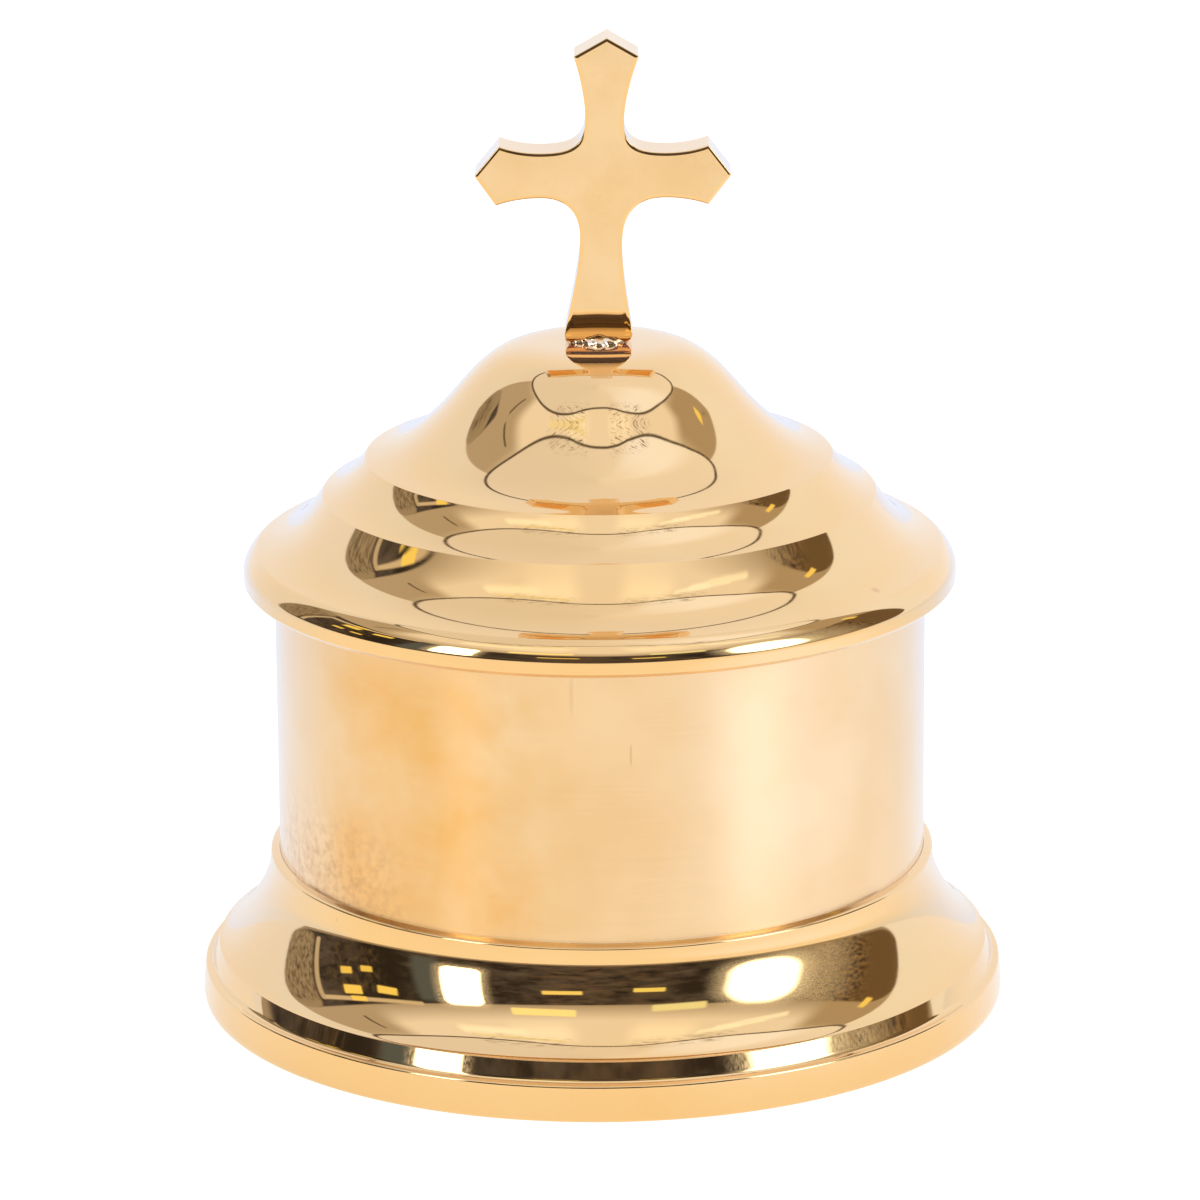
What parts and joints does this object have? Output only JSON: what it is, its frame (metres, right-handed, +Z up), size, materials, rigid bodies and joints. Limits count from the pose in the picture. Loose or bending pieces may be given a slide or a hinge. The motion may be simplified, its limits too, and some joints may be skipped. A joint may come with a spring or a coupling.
{
  "type": "host box",
  "caption": "Round brass box for altar breads: straight drum on a turned, flaring foot, stepped and domed lift-off lid with a flat cross, and a loose plate with a knob inside.",
  "frame": {"origin": "on the box's axis, at the level the foot stands on", "axes": "+Z up along the box's axis, -Y towards the viewer of the cross's broad face, +X to that viewer's right"},
  "size_m": [0.108, 0.108, 0.1313],
  "materials": {
    "polished_brass": "mirror polished and lacquered",
    "satin_brass": "fine satin, lacquered",
    "inside_brass": "spun, lightly buffed",
    "plain_brass": "as machined"
  },
  "bodies": {
    "box": {"foot_moulding": "polished_brass", "drum_wall": "polished_brass", "drum_floor": "inside_brass", "centre_stud": "plain_brass", "base_plate": "satin_brass", "stud_washer": "plain_brass", "stud_nut": "plain_brass"},
    "lid": {"lid_shell": "polished_brass", "lid_collar": "inside_brass", "cross": "satin_brass", "cross_washer": "plain_brass", "cross_screw": "plain_brass"},
    "press": {"press_plate": "inside_brass", "press_knob": "polished_brass", "press_screw": "plain_brass"}
  },
  "joints": [
    {"name": "lid_lift", "type": "slide", "parent": "box", "child": "lid", "axis": [0, 0, 1], "range_m": [0, 0.08]},
    {"name": "press_lift", "type": "slide", "parent": "box", "child": "press", "axis": [0, 0, 1], "range_m": [0, 0.05]}
  ]
}
